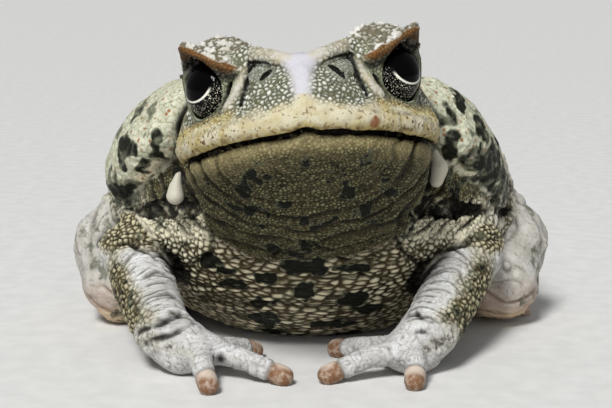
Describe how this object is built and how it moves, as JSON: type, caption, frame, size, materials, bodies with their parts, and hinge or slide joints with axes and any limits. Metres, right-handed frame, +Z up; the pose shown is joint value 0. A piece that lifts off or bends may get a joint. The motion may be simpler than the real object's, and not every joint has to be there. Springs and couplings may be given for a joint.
{
  "type": "cane toad",
  "caption": "Life-size still model of a large warty toad sitting low on bent legs, head up, hands turned in.",
  "frame": {"origin": "middle of the toad's outline at floor level", "axes": "+X towards the toad's left side, -Y the way it faces, +Z up from the floor"},
  "size_m": [0.1278, 0.146, 0.0823],
  "materials": {
    "skin": "dry warty skin, cream to grey-brown with dark blotches",
    "throat_skin": "fine granular skin, dark olive with tan grains",
    "gland_skin": "smooth swollen gland, cream with dark patches and pores",
    "ear_skin": "thin taut skin, brown",
    "hand_skin": "wrinkled pale skin with brown glossy fingertips",
    "eye": "wet glossy black with a thin silver-gold ring"
  },
  "bodies": {
    "root": {"eye_left": "eye", "eye_right": "eye", "finger_1_left": "hand_skin", "finger_1_right": "hand_skin", "finger_2_left": "hand_skin", "finger_2_right": "hand_skin", "finger_3_left": "hand_skin", "finger_3_right": "hand_skin", "finger_4_left": "hand_skin", "finger_4_right": "hand_skin", "foot_left": "skin", "foot_right": "skin", "forearm_left": "skin", "forearm_right": "skin", "hand_left": "hand_skin", "hand_right": "hand_skin", "head": "skin", "lower_jaw": "throat_skin", "parotoid_left": "gland_skin", "parotoid_right": "gland_skin", "shank_left": "skin", "shank_right": "skin", "thigh_left": "skin", "thigh_right": "skin", "torso": "skin", "tympanum_left": "ear_skin", "tympanum_right": "ear_skin", "upper_arm_left": "skin", "upper_arm_right": "skin"}
  },
  "joints": []
}
